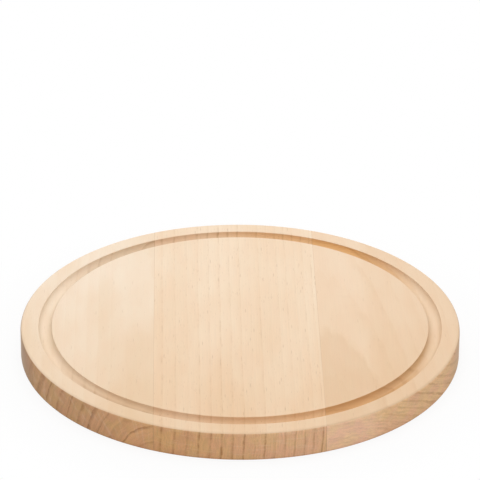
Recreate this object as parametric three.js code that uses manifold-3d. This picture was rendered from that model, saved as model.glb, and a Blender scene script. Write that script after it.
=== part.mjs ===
// Round beech cutting board: three staves glued edge to edge, cut to a disc with eased edges,
// and routed round the top with a round-nosed juice groove that crosses both glue joints.
// Millimetres, +Z up. The origin is the centre of the underside, and the grain runs along Y.

import * as THREE from 'three';
import { mergeVertices, toCreasedNormals } from 'three/addons/utils/BufferGeometryUtils.js';
import Module from 'manifold-3d';

// Disc
const BOARD_DIAMETER = 300;
const BOARD_THICKNESS = 20;
const TOP_EDGE_RADIUS = 2;
const BOTTOM_EDGE_RADIUS = 1.2;

// Juice groove, inside a flat land at the rim and no deeper than the radius of its cutter
const RIM_LAND_WIDTH = 12;
const GROOVE_DEPTH = 4;
const GROOVE_NOSE_RADIUS = 4.5;
const GROOVE_LIP_RADIUS = 0.4;

// Staves, side by side across the grain: the middle one is set a little to the left of the centre
const MIDDLE_STAVE_WIDTH = 112.4;
const MIDDLE_STAVE_CENTRE = -2.6;
const GLUE_FILM_THICKNESS = 0.2;

// Finish: sanded bare beech, and cured glue that is a little darker and smoother
const LEFT_STAVE_COLOUR = '#f1dcc2';
const MIDDLE_STAVE_COLOUR = '#f5dec4';
const RIGHT_STAVE_COLOUR = '#eecfb0';
const GLUE_COLOUR = '#c9a273';
const WOOD_ROUGHNESS = 0.62;
const GLUE_ROUGHNESS = 0.5;

// Facets
const RIM_SEGMENTS = 144;
const EDGE_STEPS = 4;
const LIP_STEPS = 3;
const GROOVE_STEPS = 12;
const CREASE_ANGLE = Math.PI / 6;

const RIGHT_ANGLE = Math.PI / 2;

// Section of the disc from the axis of the underside, out, up the wall and back over the top
function arc(centreRadius, centreHeight, radius, startAngle, endAngle, steps) {
  const points = [];
  for (let step = 0; step <= steps; step++) {
    const angle = startAngle + ((endAngle - startAngle) * step) / steps;
    const reach = centreRadius + radius * Math.cos(angle);
    points.push(new THREE.Vector2(reach, centreHeight + radius * Math.sin(angle)));
  }
  return points;
}

function edgeArcs() {
  const rim = BOARD_DIAMETER / 2;
  const bottomReach = rim - BOTTOM_EDGE_RADIUS;
  const topReach = rim - TOP_EDGE_RADIUS;
  const topHeight = BOARD_THICKNESS - TOP_EDGE_RADIUS;
  return [
    ...arc(bottomReach, BOTTOM_EDGE_RADIUS, BOTTOM_EDGE_RADIUS, -RIGHT_ANGLE, 0, EDGE_STEPS),
    ...arc(topReach, topHeight, TOP_EDGE_RADIUS, 0, RIGHT_ANGLE, EDGE_STEPS),
  ];
}

// The lips are rounded over so that each is tangent to the top face and to the cutter's circle
function grooveArcs() {
  const noseHeight = BOARD_THICKNESS - GROOVE_DEPTH + GROOVE_NOSE_RADIUS;
  const lipHeight = BOARD_THICKNESS - GROOVE_LIP_RADIUS;
  const rise = noseHeight - lipHeight;
  const halfWidth = Math.sqrt((GROOVE_NOSE_RADIUS + GROOVE_LIP_RADIUS) ** 2 - rise ** 2);
  const middle = BOARD_DIAMETER / 2 - RIM_LAND_WIDTH - halfWidth;
  const wallAngle = Math.atan2(rise, halfWidth);
  const nose = arc(middle, noseHeight, GROOVE_NOSE_RADIUS, -wallAngle, wallAngle - Math.PI, GROOVE_STEPS);
  return [
    ...arc(middle + halfWidth, lipHeight, GROOVE_LIP_RADIUS, RIGHT_ANGLE, Math.PI - wallAngle, LIP_STEPS),
    ...nose.slice(1, -1),
    ...arc(middle - halfWidth, lipHeight, GROOVE_LIP_RADIUS, wallAngle, RIGHT_ANGLE, LIP_STEPS),
  ];
}

function disc() {
  const underside = new THREE.Vector2(0, 0);
  const cuttingFace = new THREE.Vector2(0, BOARD_THICKNESS);
  const section = [underside, ...edgeArcs(), ...grooveArcs(), cuttingFace];
  return new THREE.LatheGeometry(section, RIM_SEGMENTS).rotateX(RIGHT_ANGLE);
}

// A block, longer and taller than the disc, between two planes across the grain
function slice(fromX, toX) {
  const block = new THREE.BoxGeometry(1, 2 * BOARD_DIAMETER, 4 * BOARD_THICKNESS);
  const position = block.getAttribute('position');
  for (let vertex = 0; vertex < position.count; vertex++) {
    position.setX(vertex, position.getX(vertex) < 0 ? fromX : toX);
  }
  return block;
}

// Closed solids, without the empty triangles where the section meets the axis
const wasm = await Module();
wasm.setup();

function solidOf(geometry) {
  geometry.deleteAttribute('normal');
  geometry.deleteAttribute('uv');
  const merged = mergeVertices(geometry);
  const corners = merged.getIndex().array;
  const kept = [];
  for (let first = 0; first < corners.length; first += 3) {
    const triangle = corners.slice(first, first + 3);
    if (new Set(triangle).size === 3) kept.push(...triangle);
  }
  const vertProperties = merged.getAttribute('position').array;
  const triVerts = new Uint32Array(kept);
  return new wasm.Manifold(new wasm.Mesh({ numProp: 3, vertProperties, triVerts }));
}

function meshOf(solid, name, color, roughness) {
  const { vertProperties, triVerts } = solid.getMesh();
  const geometry = new THREE.BufferGeometry();
  geometry.setAttribute('position', new THREE.BufferAttribute(vertProperties, 3));
  geometry.setIndex(new THREE.BufferAttribute(triVerts, 1));
  const material = new THREE.MeshStandardMaterial({ color, roughness, metalness: 0 });
  const mesh = new THREE.Mesh(toCreasedNormals(geometry, CREASE_ANGLE), material);
  mesh.name = name;
  return mesh;
}

// The board from left to right, each piece starting where the one before it ends
const board = new THREE.Group();
const wholeDisc = solidOf(disc());

function addPiece(name, fromX, toX, color, roughness) {
  board.add(meshOf(wholeDisc.intersect(solidOf(slice(fromX, toX))), name, color, roughness));
}

const leftGlueEnd = MIDDLE_STAVE_CENTRE - MIDDLE_STAVE_WIDTH / 2;
const leftGlueStart = leftGlueEnd - GLUE_FILM_THICKNESS;
const rightGlueStart = MIDDLE_STAVE_CENTRE + MIDDLE_STAVE_WIDTH / 2;
const rightGlueEnd = rightGlueStart + GLUE_FILM_THICKNESS;

addPiece('stave_left', -BOARD_DIAMETER, leftGlueStart, LEFT_STAVE_COLOUR, WOOD_ROUGHNESS);
addPiece('glue_line_left', leftGlueStart, leftGlueEnd, GLUE_COLOUR, GLUE_ROUGHNESS);
addPiece('stave_middle', leftGlueEnd, rightGlueStart, MIDDLE_STAVE_COLOUR, WOOD_ROUGHNESS);
addPiece('glue_line_right', rightGlueStart, rightGlueEnd, GLUE_COLOUR, GLUE_ROUGHNESS);
addPiece('stave_right', rightGlueEnd, BOARD_DIAMETER, RIGHT_STAVE_COLOUR, WOOD_ROUGHNESS);

export default board;
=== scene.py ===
import math

import bpy
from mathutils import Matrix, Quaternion, Vector


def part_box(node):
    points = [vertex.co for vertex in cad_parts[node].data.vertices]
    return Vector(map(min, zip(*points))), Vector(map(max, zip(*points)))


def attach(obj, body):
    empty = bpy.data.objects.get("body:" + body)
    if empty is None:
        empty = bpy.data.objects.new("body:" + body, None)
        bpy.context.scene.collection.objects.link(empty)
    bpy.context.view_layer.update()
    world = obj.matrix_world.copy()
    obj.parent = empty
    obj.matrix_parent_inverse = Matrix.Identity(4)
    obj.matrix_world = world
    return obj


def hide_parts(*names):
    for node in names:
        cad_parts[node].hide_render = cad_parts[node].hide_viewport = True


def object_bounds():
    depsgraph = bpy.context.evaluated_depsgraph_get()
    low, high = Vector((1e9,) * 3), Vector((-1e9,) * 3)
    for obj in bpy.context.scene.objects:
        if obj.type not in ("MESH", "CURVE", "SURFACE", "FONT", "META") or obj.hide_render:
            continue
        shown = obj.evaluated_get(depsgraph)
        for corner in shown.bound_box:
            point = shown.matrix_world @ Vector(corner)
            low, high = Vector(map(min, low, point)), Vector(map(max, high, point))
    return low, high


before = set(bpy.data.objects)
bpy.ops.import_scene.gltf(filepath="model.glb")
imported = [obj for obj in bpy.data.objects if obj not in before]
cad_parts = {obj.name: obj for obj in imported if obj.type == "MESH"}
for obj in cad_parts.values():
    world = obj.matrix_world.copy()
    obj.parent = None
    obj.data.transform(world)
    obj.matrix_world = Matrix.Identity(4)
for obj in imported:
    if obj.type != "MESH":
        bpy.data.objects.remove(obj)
cad_low, cad_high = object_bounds()

# Left stave
# A beech plank cut close to the pith, so its rings curve up across the end in slanting arcs.
# It is planed and glued along one edge. The glued panel is cut round, routed and sanded.

MM = 0.001
rim_radius = (cad_high.x - cad_low.x) / 2
thickness = cad_high.z - cad_low.z
brow_radius = 2 * MM
foot_radius = 1.2 * MM
rim_land = 12 * MM
groove_depth = 4 * MM
groove_nose = 4.5 * MM
groove_lip = 0.4 * MM
flat_margin = 0.5 * MM
weld_distance = 0.001 * MM
beyond_rim = 2 * rim_radius
edge_steps = 8
lip_steps = 6
nose_steps = 20
steps_round = 720
smooth_below = math.radians(35)


def arc(centre, radius, start, end, steps):
    """Points along a round stretch of the section, from one angle to another in degrees."""
    turns = [math.radians(start + (end - start) * step / steps) for step in range(steps + 1)]
    return [Vector((centre[0] + radius * math.cos(a), centre[1] + radius * math.sin(a))) for a in turns]


def groove_stretch():
    """The juice groove's lips and nose, from its outer lip to its inner one."""
    rise = groove_nose - groove_depth + groove_lip
    reach = math.sqrt((groove_nose + groove_lip) ** 2 - rise**2)
    middle = rim_radius - rim_land - reach
    wall = math.degrees(math.atan2(rise, reach))
    nose_height = thickness - groove_depth + groove_nose
    lip_height = thickness - groove_lip
    outer = arc((middle + reach, lip_height), groove_lip, 90, 180 - wall, lip_steps)
    nose = arc((middle, nose_height), groove_nose, -wall, wall - 180, nose_steps)
    inner = arc((middle - reach, lip_height), groove_lip, wall, 90, lip_steps)
    return outer + nose[1:-1] + inner


def half_section():
    """The board's section as (radius, height), from the underside's centre round to the top's centre."""
    foot = arc((rim_radius - foot_radius, foot_radius), foot_radius, -90, 0, edge_steps)
    brow_centre = (rim_radius - brow_radius, thickness - brow_radius)
    brow = arc(brow_centre, brow_radius, 0, 90, edge_steps)
    stretches = [[Vector((0, 0))], foot, brow, groove_stretch(), [Vector((0, thickness))]]
    section = []
    for before, after in zip(stretches, stretches[1:]):
        along = (after[0] - before[-1]).normalized() * flat_margin
        section += before + [before[-1] + along, after[0] - along]
    return section + stretches[-1]


def plug(tree, value, socket):
    """Links an output into an input, or sets the input to a plain value."""
    if isinstance(value, bpy.types.NodeSocket):
        tree.links.new(value, socket)
    else:
        socket.default_value = value


def add(tree, kind, inputs=None, **settings):
    """Adds a node with its settings, and fills its inputs by name or number."""
    made = tree.nodes.new(kind)
    for setting, value in settings.items():
        setattr(made, setting, value)
    for socket, value in (inputs or {}).items():
        plug(tree, value, made.inputs[socket])
    return made


def calc(tree, operation, *values, clamp=False):
    """The result of one sum on numbers or sockets."""
    made = add(tree, "ShaderNodeMath", dict(enumerate(values)), operation=operation)
    made.use_clamp = clamp
    return made.outputs[0]


def triple(tree, x, y=0.0, z=0.0):
    """A vector made of three numbers or sockets."""
    return add(tree, "ShaderNodeCombineXYZ", {"X": x, "Y": y, "Z": z}).outputs["Vector"]


def new_tree(name, kind, inputs, outputs):
    """An empty node group with named sockets, each input given as name: (type, default)."""
    tree = bpy.data.node_groups.new(name, kind)
    for title, (socket_type, default) in inputs.items():
        socket = tree.interface.new_socket(title, in_out="INPUT", socket_type=socket_type)
        if default is not None:
            socket.default_value = default
    for title, socket_type in outputs.items():
        tree.interface.new_socket(title, in_out="OUTPUT", socket_type=socket_type)
    return tree, tree.nodes.new("NodeGroupInput").outputs, tree.nodes.new("NodeGroupOutput").inputs


def turned_slice_tree():
    """Turns a half section into the disc, and keeps what lies between two planes across the grain."""
    sizes = {
        "Section": ("NodeSocketGeometry", None),
        "Rim Radius": ("NodeSocketFloat", 0.1),
        "Steps Round": ("NodeSocketInt", 64),
        "From X": ("NodeSocketFloat", -0.1),
        "To X": ("NodeSocketFloat", 0.1),
        "Finish": ("NodeSocketMaterial", None),
    }
    tree, given, result = new_tree(
        "turned_slice", "GeometryNodeTree", sizes, {"Geometry": "NodeSocketGeometry"}
    )
    section = add(tree, "GeometryNodeMeshToCurve", {"Mesh": given["Section"]})
    rim = add(
        tree,
        "GeometryNodeCurvePrimitiveCircle",
        {"Resolution": given["Steps Round"], "Radius": given["Rim Radius"]},
    )
    turned = add(
        tree,
        "GeometryNodeCurveToMesh",
        {"Curve": rim.outputs["Curve"], "Profile Curve": section.outputs["Curve"]},
    )
    disc = add(
        tree,
        "GeometryNodeMergeByDistance",
        {"Geometry": turned.outputs["Mesh"], "Distance": weld_distance},
    )
    block_radii = 4.0
    width = calc(tree, "SUBTRACT", given["To X"], given["From X"])
    middle = calc(tree, "MULTIPLY", calc(tree, "ADD", given["To X"], given["From X"]), 0.5)
    span = calc(tree, "MULTIPLY", given["Rim Radius"], block_radii)
    block = add(tree, "GeometryNodeMeshCube", {"Size": triple(tree, width, span, span)})
    placed = add(
        tree,
        "GeometryNodeTransform",
        {"Geometry": block.outputs["Mesh"], "Translation": triple(tree, middle)},
    )
    cut = add(
        tree,
        "GeometryNodeMeshBoolean",
        {"Mesh 2": disc.outputs["Geometry"]},
        operation="INTERSECT",
        solver="MANIFOLD",
    )
    tree.links.new(placed.outputs["Geometry"], cut.inputs["Mesh 2"])
    smooth = add(tree, "GeometryNodeSetShadeSmooth", {"Geometry": cut.outputs["Mesh"]})
    real = add(tree, "GeometryNodeRealizeInstances", {"Geometry": smooth.outputs["Geometry"]})
    finished = add(
        tree,
        "GeometryNodeSetMaterial",
        {"Geometry": real.outputs["Geometry"], "Material": given["Finish"]},
    )
    plug(tree, finished.outputs["Geometry"], result["Geometry"])
    return tree


def turned_slice(name, from_x, to_x, finish):
    """One piece of the board, between two planes across the grain, as a plain mesh at the origin."""
    corners = [(point.x - rim_radius, -point.y, 0) for point in half_section()]
    line = bpy.data.meshes.new(name + "_section")
    line.from_pydata(corners, [(i, i + 1) for i in range(len(corners) - 1)], [])
    piece = bpy.data.objects.new(name, line)
    bpy.context.scene.collection.objects.link(piece)
    turning = piece.modifiers.new("turning", "NODES")
    turning.node_group = slice_tree
    values = {
        "Rim Radius": rim_radius,
        "Steps Round": steps_round,
        "From X": from_x,
        "To X": to_x,
        "Finish": finish,
    }
    for socket in slice_tree.interface.items_tree:
        if socket.name in values:
            turning[socket.identifier] = values[socket.name]
    graph = bpy.context.evaluated_depsgraph_get()
    solid = bpy.data.meshes.new_from_object(piece.evaluated_get(graph), depsgraph=graph)
    piece.modifiers.remove(turning)
    piece.data = solid
    solid.name = name
    solid.set_sharp_from_angle(angle=smooth_below)
    return piece


def ramp(tree, value, low, high):
    """Rises smoothly from 0 to 1 between two values, or falls where low is above high."""
    limits = {"Value": value, "From Min": low, "From Max": high}
    return add(tree, "ShaderNodeMapRange", limits, interpolation_type="SMOOTHSTEP").outputs["Result"]


def lift(tree, mask, least):
    """A mask from 0 to 1, raised so that it starts from a least value."""
    return calc(tree, "MULTIPLY_ADD", mask, 1.0 - least, least)


def blend(tree, share, first, second, way="MIX"):
    """Two colours mixed by a share."""
    made = add(tree, "ShaderNodeMix", {0: share, 6: first, 7: second}, data_type="RGBA", blend_type=way)
    return made.outputs[2]


def stain(tree, colour, tint, mask, strength=1.0):
    """A colour multiplied by a tint where a mask shows it, at some strength."""
    if strength != 1.0:
        mask = calc(tree, "MULTIPLY", mask, strength)
    return blend(tree, mask, colour, tint, "MULTIPLY")


def shade(tree, colour, factor):
    """A colour made lighter or darker by a factor."""
    grey = add(tree, "ShaderNodeCombineColor", dict.fromkeys(("Red", "Green", "Blue"), factor)).outputs[0]
    return blend(tree, 1.0, colour, grey, "MULTIPLY")


def axes(tree, vector):
    """A vector's X, Y and Z."""
    return add(tree, "ShaderNodeSeparateXYZ", {"Vector": vector}).outputs


def vector_calc(tree, operation, *values):
    """The result of one sum on vectors, which is a number for a length or a dot product."""
    made = add(tree, "ShaderNodeVectorMath", dict(enumerate(values)), operation=operation)
    return made.outputs["Value" if operation in ("LENGTH", "DOT_PRODUCT") else "Vector"]


def stretched(tree, place, scale, seed):
    """A place in the wood scaled along each axis and moved by a seed, for a pattern to read."""
    scaled = vector_calc(tree, "MULTIPLY", place, scale)
    return vector_calc(tree, "ADD", scaled, triple(tree, seed, seed, seed))


def noise(tree, place, detail=2.0, roughness=0.5):
    """A soft pattern between 0 and 1 that changes about once a unit."""
    values = {"Vector": place, "Scale": 1.0, "Detail": detail, "Roughness": roughness}
    return add(tree, "ShaderNodeTexNoise", values).outputs["Fac"]


def swing(tree, pattern):
    """A pattern between 0 and 1, moved to swing about 0."""
    return calc(tree, "SUBTRACT", pattern, 0.5)


def millimetres(tree):
    """The place in the board, in millimetres."""
    spot = add(tree, "ShaderNodeTexCoord").outputs["Object"]
    return add(tree, "ShaderNodeVectorMath", {0: spot, "Scale": 1 / MM}, operation="SCALE").outputs[0]


def number(default):
    """A number input of a shared effect, with its default."""
    return ("NodeSocketFloat", default)


def masks(*titles):
    """The number outputs of a shared effect."""
    return dict.fromkeys(titles, "NodeSocketFloat")


def growth_rings_tree():
    """Rings round a pith that may dip along the grain, as lines, tones, veins and the rays across them.
    Each scale says how often its pattern changes along the three axes of the vector that it reads."""
    inputs = {
        "Pith X": number(0.0),
        "Pith Z": number(-50.0),
        "Pith Dip": number(0.0),
        "Stretch": number(1.0),
        "First Radius": number(50.0),
        "Ring Width": number(6.0),
        "Closing": number(0.0),
        "Uneven": number(1.0),
        "Line Width": number(1.0),
        "Wander": number(3.0),
        "Ripple": number(1.6),
        "Heart Radius": number(0.0),
        "Inner X": number(0.0),
        "Outer X": number(100.0),
        "Seed": number(0.0),
    }
    outputs = masks("Ring", "Line", "Tone", "Vein", "Heart", "Outward", "Ray")
    tree, given, result = new_tree("growth_rings", "ShaderNodeTree", inputs, outputs)
    seed = given["Seed"]
    place = millimetres(tree)
    spot = axes(tree, place)

    # The distance from the pith, which wanders and ripples along the log
    wander_scale = (0.02, 0.006, 0.02)
    ripple_scale = (0.2, 0.03, 0.2)
    wander = swing(tree, noise(tree, stretched(tree, place, wander_scale, seed)))
    ripple = swing(tree, noise(tree, stretched(tree, place, ripple_scale, seed)))
    sway = calc(tree, "MULTIPLY", wander, given["Wander"])
    sway = calc(tree, "MULTIPLY_ADD", ripple, given["Ripple"], sway)
    across = calc(tree, "SUBTRACT", spot["X"], given["Pith X"])
    up = calc(tree, "SUBTRACT", spot["Z"], given["Pith Z"])
    up = calc(tree, "MULTIPLY_ADD", spot["Y"], given["Pith Dip"], up)
    up = calc(tree, "DIVIDE", up, given["Stretch"])
    square = calc(tree, "MULTIPLY_ADD", across, across, calc(tree, "MULTIPLY", up, up))
    radius = calc(tree, "ADD", calc(tree, "SQRT", square), sway)

    # The years counted outwards, some wider than others and some darker
    faintest_year = 0.3
    past = calc(tree, "SUBTRACT", radius, given["First Radius"])
    closing = calc(tree, "MULTIPLY", calc(tree, "MULTIPLY", past, past), given["Closing"])
    count = calc(tree, "ADD", calc(tree, "DIVIDE", past, given["Ring Width"]), closing)
    weather = swing(tree, noise(tree, triple(tree, count, seed), detail=0.0))
    count = calc(tree, "MULTIPLY_ADD", weather, given["Uneven"], count)
    year = calc(tree, "ADD", calc(tree, "FLOOR", count), seed)
    season = calc(tree, "FRACT", count)
    chance = add(tree, "ShaderNodeTexWhiteNoise", {"W": year}, noise_dimensions="1D").outputs["Value"]
    strength = lift(tree, chance, faintest_year)

    # The late wood that ends each year: a line on the end grain, and thin dashes on the top.
    # Its edges are in line widths from the end of the year.
    ring_start, ring_end = (1.8, 0.6), (0.0, 0.4)
    line_start, line_end = (1.2, 0.4), (0.0, 0.27)
    gap_scale = (5.3, 0.07, 0.2)
    worn_range, worn_least = (0.34, 0.56), 0.35
    dash_range, dash_least = (0.46, 0.64), 0.05
    tone_curve = 1.6
    width = calc(tree, "DIVIDE", given["Line Width"], given["Ring Width"])
    left = calc(tree, "DIVIDE", calc(tree, "SUBTRACT", 1.0, season), width)
    ring = calc(tree, "MULTIPLY", ramp(tree, left, *ring_start), ramp(tree, left, *ring_end))
    line = calc(tree, "MULTIPLY", ramp(tree, left, *line_start), ramp(tree, left, *line_end))
    rows = vector_calc(tree, "MULTIPLY", triple(tree, year, spot["Y"], spot["Z"]), gap_scale)
    gap = noise(tree, rows, detail=3.0, roughness=0.6)
    worn = calc(tree, "MULTIPLY", strength, lift(tree, ramp(tree, gap, *worn_range), worn_least))
    dash = calc(tree, "MULTIPLY", strength, lift(tree, ramp(tree, gap, *dash_range), dash_least))
    plug(tree, calc(tree, "MULTIPLY", ring, worn), result["Ring"])
    plug(tree, calc(tree, "MULTIPLY", line, dash), result["Line"])
    plug(tree, calc(tree, "MULTIPLY", calc(tree, "POWER", season, tone_curve), strength), result["Tone"])

    # Veins along the rings and rays across them
    vein_scale = (0.8, 0.11, 0.04)
    ray_scale = (1.0, 0.07, 0.2)
    ray_range = (0.52, 0.72)
    turn = calc(tree, "MULTIPLY", calc(tree, "ARCTAN2", up, across), given["First Radius"])
    bent = triple(tree, radius, turn, spot["Y"])
    vein = noise(tree, stretched(tree, bent, vein_scale, seed), detail=4.0, roughness=0.65)
    plug(tree, vein, result["Vein"])
    fan = vector_calc(tree, "MULTIPLY", triple(tree, turn, radius, spot["Y"]), ray_scale)
    plug(tree, ramp(tree, noise(tree, fan, detail=1.0), *ray_range), result["Ray"])

    # The heart inside one of the rings, and the outer part of the plank, whose edge ripples too
    heart_edge = (-0.3, 0.5)
    outward_ripple = 8.0
    inside = calc(tree, "SUBTRACT", given["Heart Radius"], radius)
    plug(tree, ramp(tree, inside, *heart_edge), result["Heart"])
    drawn = calc(tree, "MULTIPLY_ADD", ripple, outward_ripple, spot["X"])
    plug(tree, ramp(tree, drawn, given["Inner X"], given["Outer X"]), result["Outward"])
    return tree


def flecks_tree():
    """Short spindle-shaped flecks along the grain, where the wood's rays are cut through."""
    inputs = {
        "Width": number(1.0),
        "Length": number(6.0),
        "Share": number(0.3),
        "Seed": number(0.0),
    }
    tree, given, result = new_tree("ray_flecks", "ShaderNodeTree", inputs, masks("Fleck"))
    spindle_edge = (0.36, 0.1)
    across = calc(tree, "DIVIDE", 1.0, given["Width"])
    along = calc(tree, "DIVIDE", 1.0, given["Length"])
    grid = stretched(tree, millimetres(tree), triple(tree, across, along, across), given["Seed"])
    cells = add(tree, "ShaderNodeTexVoronoi", {"Vector": grid, "Scale": 1.0}).outputs
    chance = add(tree, "ShaderNodeSeparateColor", {"Color": cells["Color"]}).outputs["Red"]
    picked = calc(tree, "LESS_THAN", chance, given["Share"])
    spindle = ramp(tree, cells["Distance"], *spindle_edge)
    plug(tree, calc(tree, "MULTIPLY", picked, spindle), result["Fleck"])
    return tree


def fibres_tree():
    """Fine streaks along the grain, pores that show on the end, and slow changes of tone and hue,
    with a painted shade that deepens from the back of the board towards its front."""
    outputs = masks("Streak", "Pore", "Cloud", "Blush", "Front Shade")
    tree, given, result = new_tree("fibres", "ShaderNodeTree", {"Seed": number(0.0)}, outputs)
    streak_scale = (1.1, 0.03, 1.1)
    pore_scale, pore_range = (2.6, 0.25, 2.6), (0.52, 0.7)
    cloud_scale, cloud_range = (0.03, 0.009, 0.03), (0.32, 0.68)
    blush_scale, blush_range = (0.11, 0.03, 0.11), (0.35, 0.65)
    front_shade_ends = (90.0, -150.0)
    seed = given["Seed"]
    place = millimetres(tree)
    streak = noise(tree, stretched(tree, place, streak_scale, seed), detail=4.0, roughness=0.62)
    pore = noise(tree, stretched(tree, place, pore_scale, seed), detail=1.0)
    cloud = noise(tree, stretched(tree, place, cloud_scale, seed), detail=3.0)
    blush = noise(tree, stretched(tree, place, blush_scale, seed), detail=2.0)
    plug(tree, streak, result["Streak"])
    plug(tree, ramp(tree, pore, *pore_range), result["Pore"])
    plug(tree, ramp(tree, cloud, *cloud_range), result["Cloud"])
    plug(tree, ramp(tree, blush, *blush_range), result["Blush"])
    plug(tree, ramp(tree, axes(tree, place)["Y"], *front_shade_ends), result["Front Shade"])
    return tree


def end_grain_tree():
    """Where the wall shows the end of the grain, where the groove is cut across the fibres and where it
    runs clean along them, and where the wall turns to the side, which gets painted shade."""
    inputs = {
        "Rim Radius": number(150.0),
        "Rim Land": number(12.0),
        "Thickness": number(20.0),
        "Burr": number(0.5),
    }
    outputs = masks("End", "Cut", "Clean", "Side Shade")
    tree, given, result = new_tree("end_grain", "ShaderNodeTree", inputs, outputs)

    # The place on the disc, and how the surface leans there
    land_share = (0.9, 0.3)
    spot = axes(tree, millimetres(tree))
    level = triple(tree, spot["X"], spot["Y"])
    reach = vector_calc(tree, "LENGTH", level)
    inset = calc(tree, "SUBTRACT", given["Rim Radius"], reach)
    outside = ramp(tree, calc(tree, "DIVIDE", inset, given["Rim Land"]), *land_share)
    along = calc(tree, "DIVIDE", calc(tree, "ABSOLUTE", spot["Y"]), reach)
    across = calc(tree, "DIVIDE", calc(tree, "ABSOLUTE", spot["X"]), reach)
    facing = add(tree, "ShaderNodeNewGeometry").outputs["Normal"]
    outward = vector_calc(tree, "DOT_PRODUCT", facing, vector_calc(tree, "NORMALIZE", level))
    lean = axes(tree, vector_calc(tree, "ABSOLUTE", facing))

    # The wall, outside the groove
    upright = (0.8, 0.55)
    end_turn = (0.0, 0.4)
    side_turn = (0.9, 0.99)
    wall = calc(tree, "MULTIPLY", ramp(tree, lean["Z"], *upright), outside)
    plug(tree, calc(tree, "MULTIPLY", wall, ramp(tree, along, *end_turn)), result["End"])
    plug(tree, calc(tree, "MULTIPLY", wall, ramp(tree, across, *side_turn)), result["Side Shade"])

    # The groove, torn on its floor and outer side, and burred on its inner side
    lip_depths = (0.05, 0.6)
    clean_turn, torn_turn = (0.7, 0.3), (0.3, 0.7)
    outer_delay = 0.12
    torn_lean = (0.8, 0.1)
    burr_lean, burr_side = (0.05, 0.35), (-0.1, 0.3)
    depth = calc(tree, "SUBTRACT", given["Thickness"], spot["Z"])
    upper = calc(tree, "LESS_THAN", depth, calc(tree, "MULTIPLY", given["Thickness"], 0.5))
    field = calc(tree, "MULTIPLY", upper, calc(tree, "SUBTRACT", 1.0, outside))
    hollow = calc(tree, "MULTIPLY", field, ramp(tree, depth, *lip_depths))
    plug(tree, calc(tree, "MULTIPLY", hollow, ramp(tree, along, *clean_turn)), result["Clean"])
    crossing = calc(tree, "MULTIPLY_ADD", outward, outer_delay, along)
    torn = calc(tree, "MULTIPLY", hollow, ramp(tree, crossing, *torn_turn))
    torn = calc(tree, "MULTIPLY", torn, ramp(tree, outward, *torn_lean))
    burr = calc(tree, "MULTIPLY", ramp(tree, lean["Y"], *burr_lean), given["Burr"])
    burr = calc(tree, "MULTIPLY", burr, ramp(tree, outward, *burr_side))
    burr = calc(tree, "MULTIPLY", burr, field)
    plug(tree, calc(tree, "MAXIMUM", burr, torn), result["Cut"])
    return tree


def foot_shade_tree():
    """Painted shade along the board's lower edge, where it meets the table."""
    inputs = {"Rim Radius": number(150.0), "Reach": number(1.6)}
    tree, given, result = new_tree("foot_shade", "ShaderNodeTree", inputs, masks("Edge"))
    foot_shade_share = (1.0, 0.3)
    spot = axes(tree, millimetres(tree))
    radius = vector_calc(tree, "LENGTH", triple(tree, spot["X"], spot["Y"]))
    inset = calc(tree, "SUBTRACT", given["Rim Radius"], radius)
    near = calc(tree, "DIVIDE", calc(tree, "MAXIMUM", inset, spot["Z"]), given["Reach"])
    plug(tree, ramp(tree, near, *foot_shade_share), result["Edge"])
    return tree


def linear(red, green, blue, alpha=1.0):
    """A colour given in the usual 0 to 255 steps, as the shader takes it."""
    steps = [value / 255 for value in (red, green, blue)]
    return (*[s / 12.92 if s <= 0.04045 else ((s + 0.055) / 1.055) ** 2.4 for s in steps], alpha)


def effect(tree, group, **values):
    """Places a shared effect in a material with its own values, and gives its outputs."""
    made = add(tree, "ShaderNodeGroup", node_tree=group)
    for title, value in values.items():
        made.inputs[title.replace("_", " ").title()].default_value = value
    return made.outputs


def dress(tree, colour, roughness, height, relief):
    """Gives a material's shader its colour, its roughness and a fine relief, and hands the shader back."""
    bump = add(tree, "ShaderNodeBump", {"Height": height, **relief})
    shader = tree.nodes["Principled BSDF"]
    plug(tree, colour, shader.inputs["Base Color"])
    plug(tree, roughness, shader.inputs["Roughness"])
    plug(tree, bump.outputs["Normal"], shader.inputs["Normal"])
    return shader


line_tint = (0.83, 0.78, 0.71, 1.0)
fleck_tint = (0.78, 0.72, 0.66, 1.0)
heart_tint = (0.95, 0.92, 0.88, 1.0)
blush_tint = (1.0, 0.965, 0.95, 1.0)
flush_tint = (0.98, 0.90, 0.90, 1.0)
honey_tint = (0.98, 0.97, 0.86, 1.0)
clean_tint = (0.955, 0.985, 1.01, 1.0)
ring_tint = (0.59, 0.47, 0.36, 1.0)
pore_tint = (0.84, 0.78, 0.70, 1.0)
side_shade_tint = (0.64, 0.59, 0.57, 1.0)
foot_shade_tint = (0.84, 0.74, 0.70, 1.0)
fine_fleck = {"width": 0.8, "length": 6.0}
bold_fleck = {"width": 1.3, "length": 11.0}
fine_strength = 0.6
front_shade_strength = 0.6
cloud_strength = 0.3
blush_strength = 0.6
back_cut_share = 0.6
crossed_strength = 0.4
end_least, end_streak, end_vein = 0.64, 0.2, 0.6
pore_strength = 0.6
ray_strength = 0.12
rough_least, rough_streak, rough_end = 0.5, 0.16, 0.12
fleck_dent, line_dent, pore_dent = -0.5, -0.3, -0.8
wood_relief = {"Strength": 0.35, "Distance": 0.06 * MM}
wood_specular = 0.3
disc_sizes = {"rim_radius": rim_radius / MM, "rim_land": rim_land / MM, "thickness": thickness / MM}


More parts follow.
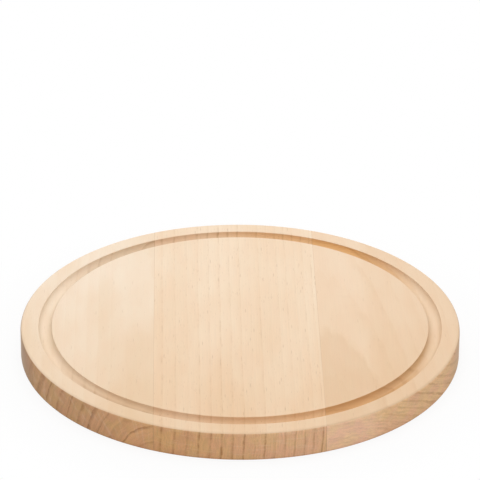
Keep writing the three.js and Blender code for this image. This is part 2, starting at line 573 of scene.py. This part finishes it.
def beech(name, colours, figure, marks, seed):
    """Sanded bare beech, with the colours and the figure that its place in the log gives it."""
    material = bpy.data.materials.new(name)
    material.use_nodes = True
    tree = material.node_tree
    wood = effect(tree, rings_group, seed=seed, **figure)
    fibre = effect(tree, fibres_group, seed=seed)
    turned = effect(tree, end_grain_group, burr=marks["burr"], **disc_sizes)
    edge = effect(tree, foot_shade_group, rim_radius=rim_radius / MM)["Edge"]
    fine = effect(tree, flecks_group, seed=seed, share=marks["fine"], **fine_fleck)["Fleck"]
    bold = effect(tree, flecks_group, seed=seed + 1, share=marks["bold"], **bold_fleck)["Fleck"]
    fleck = calc(tree, "MAXIMUM", calc(tree, "MULTIPLY", fine, fine_strength), bold)

    # Wood cut along the grain, as on the top and in the groove
    # Painted shade: the tone deepens from the back of the board towards its front, where less light falls.
    tone = calc(tree, "MULTIPLY", fibre["Front Shade"], front_shade_strength)
    tone = calc(tree, "MULTIPLY_ADD", wood["Tone"], marks["band"], tone)
    tone = calc(tree, "MULTIPLY_ADD", fibre["Cloud"], cloud_strength, tone, clamp=True)
    side = blend(tree, tone, colours["pale"], colours["deep"])
    side = stain(tree, side, blush_tint, fibre["Blush"], blush_strength)
    side = stain(tree, side, heart_tint, wood["Heart"])
    side = stain(tree, side, colours["outer_tint"], wood["Outward"])
    side = stain(tree, side, clean_tint, turned["Clean"])
    # The groove's cut colour deepens towards the outer part of the plank, which is a real tint, and
    # towards the front of the board, which is painted shade.
    outward_and_front_shade = calc(tree, "MULTIPLY", wood["Outward"], lift(tree, fibre["Front Shade"], back_cut_share))
    routed = blend(tree, outward_and_front_shade, colours["cut_inner"], colours["cut_outer"])
    side = stain(tree, side, routed, turned["Cut"])
    crossed = calc(tree, "MULTIPLY", wood["Ring"], turned["Cut"])
    side = stain(tree, side, ring_tint, crossed, crossed_strength)
    streak = calc(tree, "MULTIPLY", swing(tree, fibre["Streak"]), marks["streak"])
    side = shade(tree, side, calc(tree, "ADD", streak, 1.0))
    side = stain(tree, side, line_tint, wood["Line"], marks["line"])
    side = stain(tree, side, fleck_tint, fleck, marks["fleck"])

    # The end of the grain, on the wall
    butt = blend(tree, wood["Outward"], colours["end_inner"], colours["end_outer"])
    hue = blend(tree, fibre["Blush"], honey_tint, flush_tint)
    butt = stain(tree, butt, hue, 1.0)
    light = calc(tree, "MULTIPLY_ADD", fibre["Streak"], end_streak, end_least)
    butt = shade(tree, butt, calc(tree, "MULTIPLY_ADD", wood["Vein"], end_vein, light))
    shown = calc(tree, "MULTIPLY", wood["Ring"], lift(tree, wood["Outward"], 1.0 - marks["plain"]))
    butt = stain(tree, butt, ring_tint, shown, marks["ring"])
    butt = stain(tree, butt, pore_tint, fibre["Pore"], pore_strength)
    butt = blend(tree, calc(tree, "MULTIPLY", wood["Ray"], ray_strength), butt, colours["pale"])

    # Painted shade on the side walls and along the foot, and the sanded surface
    colour = blend(tree, turned["End"], side, butt)
    # Painted shade on the walls that face the sides, deepest on the left stave and none on the middle one.
    colour = stain(tree, colour, side_shade_tint, turned["Side Shade"], marks["side_shade"])
    # Painted shade along the foot, where the board meets the floor.
    colour = stain(tree, colour, foot_shade_tint, edge)
    rough = calc(tree, "MULTIPLY_ADD", fibre["Streak"], rough_streak, rough_least)
    rough = calc(tree, "MULTIPLY_ADD", turned["End"], rough_end, rough, clamp=True)
    height = calc(tree, "MULTIPLY_ADD", fleck, fleck_dent, fibre["Streak"])
    height = calc(tree, "MULTIPLY_ADD", wood["Line"], line_dent, height)
    open_pores = calc(tree, "MULTIPLY", turned["End"], fibre["Pore"])
    height = calc(tree, "MULTIPLY_ADD", open_pores, pore_dent, height)
    shader = dress(tree, colour, rough, height, wood_relief)
    shader.inputs["Specular IOR Level"].default_value = wood_specular
    return material


slice_tree = turned_slice_tree()
rings_group = growth_rings_tree()
flecks_group = flecks_tree()
fibres_group = fibres_tree()
end_grain_group = end_grain_tree()
foot_shade_group = foot_shade_tree()

left_figure = {
    "pith_x": -55.8,
    "pith_z": -52.0,
    "stretch": 2.0,
    "first_radius": 30.0,
    "ring_width": 6.2,
    "inner_x": -70.0,
    "outer_x": -112.0,
}
left_colours = {
    "pale": linear(249, 229, 204),
    "deep": linear(234, 199, 158),
    "outer_tint": (1.02, 1.03, 1.05, 1.0),
    "cut_inner": (0.79, 0.73, 0.66, 1.0),
    "cut_outer": (0.80, 0.74, 0.68, 1.0),
    "end_inner": linear(219, 172, 126),
    "end_outer": linear(207, 164, 122),
}
left_marks = {
    "band": 0.1,
    "line": 0.08,
    "fine": 0.2,
    "bold": 0.05,
    "fleck": 0.4,
    "streak": 0.06,
    "burr": 0.25,
    "ring": 0.9,
    "plain": 0.0,
    "side_shade": 1.0,
}
left_beech = beech("beech_left", left_colours, left_figure, left_marks, seed=3.0)
left_stave = turned_slice("left_stave", -beyond_rim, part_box("glue_line_left")[0].x, left_beech)
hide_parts("stave_left")
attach(left_stave, "root")

# Middle stave
# A quarter-sawn beech plank, so its rings stand upright on the end and run as fine straight lines
# along the top, each broken into short dashes. It is planed and glued along both edges.

middle_figure = {
    "pith_x": -310.0,
    "pith_z": 28.0,
    "first_radius": 257.5,
    "ring_width": 8.6,
    "closing": 0.00026,
    "uneven": 0.3,
    "line_width": 1.5,
    "wander": 2.5,
    "inner_x": -58.0,
    "outer_x": 53.0,
}
middle_colours = {
    "pale": linear(249, 226, 198),
    "deep": linear(238, 203, 164),
    "outer_tint": (1.0, 1.0, 1.0, 1.0),
    "cut_inner": (0.84, 0.76, 0.70, 1.0),
    "cut_outer": (0.82, 0.58, 0.27, 1.0),
    # The end colour pales towards the right, partly from the plank's own tone and partly as painted light
    # falling from the right.
    "end_inner": linear(219, 172, 124),
    "end_outer": linear(237, 194, 154),
}
middle_marks = {
    "band": 0.2,
    "line": 0.55,
    "fine": 0.3,
    "bold": 0.1,
    "fleck": 0.65,
    "streak": 0.13,
    "burr": 0.45,
    "ring": 0.9,
    "plain": 0.0,
    "side_shade": 0.0,
}
middle_beech = beech("beech_middle", middle_colours, middle_figure, middle_marks, seed=11.0)
middle_low, middle_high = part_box("stave_middle")
middle_stave = turned_slice("middle_stave", middle_low.x, middle_high.x, middle_beech)
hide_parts("stave_middle")
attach(middle_stave, "root")

# Right stave
# A flat-sawn beech plank, a little darker and pinker, whose rings lie almost level on the end and
# come out on the top as broad arches. It is planed and glued to the middle stave along one edge.

right_figure = {
    "pith_x": 58.0,
    "pith_z": -80.0,
    "pith_dip": 0.068,
    "first_radius": 95.0,
    "ring_width": 5.0,
    "ripple": 2.4,
    "heart_radius": 99.5,
    "inner_x": 83.0,
    "outer_x": 95.0,
}
right_colours = {
    "pale": linear(246, 220, 191),
    "deep": linear(237, 203, 165),
    "outer_tint": (0.97, 0.945, 0.91, 1.0),
    "cut_inner": (0.84, 0.64, 0.37, 1.0),
    "cut_outer": (0.80, 0.67, 0.48, 1.0),
    "end_inner": linear(249, 209, 175),
    "end_outer": linear(240, 199, 157),
}
right_marks = {
    "band": 0.2,
    "line": 0.2,
    "fine": 0.12,
    "bold": 0.05,
    "fleck": 0.35,
    "streak": 0.08,
    "burr": 0.75,
    "ring": 0.6,
    "plain": 0.85,
    "side_shade": 0.5,
}
right_beech = beech("beech_right", right_colours, right_figure, right_marks, seed=23.0)
right_stave = turned_slice("right_stave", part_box("glue_line_right")[1].x, beyond_rim, right_beech)
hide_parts("stave_right")
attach(right_stave, "root")

# Glue lines
# Thin films of wood glue, squeezed out when the staves were clamped together and cured amber.
# Each is sanded flush with the staves, so only its edge shows.

film_pale = linear(228, 195, 158)
film_deep = linear(212, 177, 139)
film_end_pale = linear(186, 136, 94)
film_end_deep = linear(170, 122, 82)
film_cut_tint = (0.7, 0.55, 0.4, 1.0)
film_burr = 0.85
film_rough_least, film_rough_streak = 0.45, 0.2
film_relief = {"Strength": 0.2, "Distance": 0.03 * MM}


def cured_glue():
    """Amber glue, clouded along the joint where the film is thicker."""
    material = bpy.data.materials.new("cured_glue")
    material.use_nodes = True
    tree = material.node_tree
    fibre = effect(tree, fibres_group, seed=5.0)
    turned = effect(tree, end_grain_group, burr=film_burr, **disc_sizes)
    side = blend(tree, fibre["Cloud"], film_pale, film_deep)
    side = stain(tree, side, film_cut_tint, turned["Cut"])
    butt = blend(tree, fibre["Blush"], film_end_pale, film_end_deep)
    colour = blend(tree, turned["End"], side, butt)
    rough = calc(tree, "MULTIPLY_ADD", fibre["Streak"], film_rough_streak, film_rough_least)
    dress(tree, colour, rough, fibre["Streak"], film_relief)
    return material


glue_finish = cured_glue()
for side in ("left", "right"):
    film_low, film_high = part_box("glue_line_" + side)
    film = turned_slice(side + "_glue_film", film_low.x, film_high.x, glue_finish)
    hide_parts("glue_line_" + side)
    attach(film, "root")

# Studio floor
# A pale matt sheet that lies just under the board, a hair lower so that no two faces meet.
# It keeps the board's soft shadow and fades to the white of the background further out.

floor_radius = 2.5
floor_height = -0.1 * MM
shadow_reach = (0.15, 0.21)
shadow_veil = 0.9
floor_white = (0.93, 0.93, 0.93, 1.0)
plain_white = (1.0, 1.0, 1.0, 1.0)


def seen_directly(tree):
    """Where the camera sees the surface itself, or in a reflection, or through something clear."""
    path = add(tree, "ShaderNodeLightPath").outputs
    seen = calc(tree, "MAXIMUM", path["Is Camera Ray"], path["Is Glossy Ray"])
    return calc(tree, "MAXIMUM", seen, path["Is Transmission Ray"])


def floor_finish():
    """Matt white that turns to the plain white of the background away from the board."""
    material = bpy.data.materials.new("studio_floor")
    material.use_nodes = True
    tree = material.node_tree
    tree.nodes.remove(tree.nodes["Principled BSDF"])
    matt = add(tree, "ShaderNodeBsdfDiffuse", {"Color": floor_white}).outputs[0]
    white = add(tree, "ShaderNodeEmission", {"Color": plain_white, "Strength": 1.0}).outputs[0]
    far = vector_calc(tree, "LENGTH", add(tree, "ShaderNodeTexCoord").outputs["Object"])
    fade = lift(tree, ramp(tree, far, *shadow_reach), shadow_veil)
    share = calc(tree, "MULTIPLY", seen_directly(tree), fade)
    mixed = add(tree, "ShaderNodeMixShader", {0: share, 1: matt, 2: white})
    plug(tree, mixed.outputs[0], tree.nodes["Material Output"].inputs["Surface"])
    return material


floor_mesh = bpy.data.meshes.new("studio_floor")
floor_signs = ((-1, -1), (1, -1), (1, 1), (-1, 1))
floor_corners = [(x * floor_radius, y * floor_radius, floor_height) for x, y in floor_signs]
floor_mesh.from_pydata(floor_corners, [], [(0, 1, 2, 3)])
floor_mesh.materials.append(floor_finish())
floor = bpy.data.objects.new("studio_floor", floor_mesh)
bpy.context.scene.collection.objects.link(floor)

# Studio light
# A broad soft lamp overhead, a weak one in front of the board to fill its wall and another behind it
# for its sheen, and white surroundings.

lamps = {
    "over_lamp": {"place": (0.0, 0.2, 1.4), "size": 1.0, "power": 10.4},
    "front_lamp": {"place": (0.0, -1.6, 0.8), "size": 1.2, "power": 3.5},
    "back_lamp": {"place": (0.0, 1.5, 0.6), "size": 0.9, "power": 2.5},
}
lamp_aim = Vector((0, 0, 0))
surround = 0.42

for name, lamp in lamps.items():
    light = bpy.data.lights.new(name, "AREA")
    light.size = lamp["size"]
    light.energy = lamp["power"]
    holder = bpy.data.objects.new(name, light)
    holder.location = lamp["place"]
    holder.rotation_euler = (lamp_aim - holder.location).to_track_quat("-Z", "Y").to_euler()
    bpy.context.scene.collection.objects.link(holder)

world = bpy.data.worlds.new("white_surroundings")
world.use_nodes = True
sky = world.node_tree
background = sky.nodes["Background"]
plug(sky, lift(sky, seen_directly(sky), surround), background.inputs["Strength"])
background.inputs["Color"].default_value = plain_white
bpy.context.scene.world = world
bpy.context.scene.view_settings.view_transform = "Standard"

# Camera
# It stands well back and low in front, a little to the left, and aims above the board,
# which puts the board in the lower half of the square picture.

camera_distance = 2.4
camera_elevation = math.radians(28.49)
camera_azimuth = math.radians(-1.2)
camera_roll = math.radians(0.36)
aim_shift = -0.00045
aim_rise = 0.0637
sensor_width = 36.0
lens_length = 263.2

camera_data = bpy.data.cameras.new("camera")
camera_data.sensor_width = sensor_width
camera_data.lens = lens_length
camera = bpy.data.objects.new("camera", camera_data)
away = Vector((
    math.sin(camera_azimuth) * math.cos(camera_elevation),
    -math.cos(camera_azimuth) * math.cos(camera_elevation),
    math.sin(camera_elevation),
))
camera.location = Vector((0, 0, thickness)) + away * camera_distance
camera.rotation_mode = "QUATERNION"
facing = (Vector((aim_shift, 0, thickness + aim_rise)) - camera.location).to_track_quat("-Z", "Y")
camera.rotation_quaternion = facing @ Quaternion((0, 0, 1), camera_roll)
bpy.context.scene.collection.objects.link(camera)
bpy.context.scene.camera = camera
